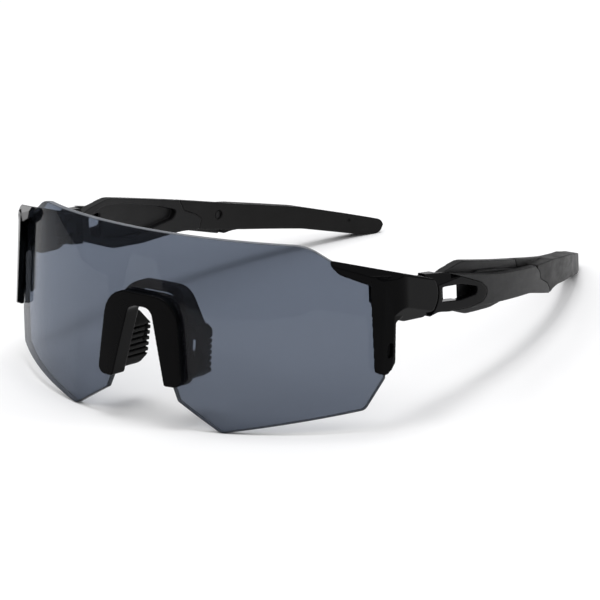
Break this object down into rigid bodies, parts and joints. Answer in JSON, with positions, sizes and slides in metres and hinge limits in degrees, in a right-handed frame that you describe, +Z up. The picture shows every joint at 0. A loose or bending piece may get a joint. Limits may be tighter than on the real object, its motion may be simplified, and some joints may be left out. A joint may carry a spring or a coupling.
{
  "type": "wraparound sport sunglasses",
  "caption": "Rimless wraparound sport sunglasses with a one-piece shield lens, soft nose piece and inward folding temples with soft curved tips.",
  "frame": {"origin": "on the table in the middle plane of the glasses, halfway between the front of the nose clip and the ends of the temple tips", "axes": "+Z up from the table, +Y from the lens towards the temple tips, +X towards the wearer's left"},
  "size_m": [0.14, 0.1801, 0.0569],
  "materials": {
    "lens": "smoke tinted polycarbonate, polished",
    "gloss_black": "polished black nylon",
    "satin_black": "satin black nylon",
    "soft_black": "soft black elastomer",
    "steel": "plain steel pin",
    "matte_grey": "fine textured dark grey nylon",
    "tip_rubber": "soft touch dark grey elastomer"
  },
  "bodies": {
    "front": {"lens_shield": "lens", "nose_clip": "gloss_black", "nose_saddle": "soft_black", "left_nose_pad": "soft_black", "right_nose_pad": "soft_black", "left_end_clip": "gloss_black", "right_end_clip": "gloss_black", "left_lens_retainer": "satin_black", "right_lens_retainer": "satin_black", "left_hinge_pin": "steel", "right_hinge_pin": "steel"},
    "left_temple": {"left_temple_arm": "gloss_black", "left_outer_blade": "matte_grey", "left_inner_leaf": "matte_grey", "left_temple_core": "satin_black", "left_tip_sleeve": "tip_rubber", "left_tip_stud": "satin_black"},
    "right_temple": {"right_temple_arm": "gloss_black", "right_outer_blade": "matte_grey", "right_inner_leaf": "matte_grey", "right_temple_core": "satin_black", "right_tip_sleeve": "tip_rubber", "right_tip_stud": "satin_black"}
  },
  "joints": [
    {"name": "left_temple_fold", "type": "hinge", "parent": "front", "child": "left_temple", "pos_m": [0.0652, -0.0403, 0.0351], "axis": [0, 0, 1], "range_deg": [0, 84]},
    {"name": "right_temple_fold", "type": "hinge", "parent": "front", "child": "right_temple", "pos_m": [-0.0652, -0.0403, 0.0351], "axis": [0, 0, -1], "range_deg": [0, 75]}
  ]
}
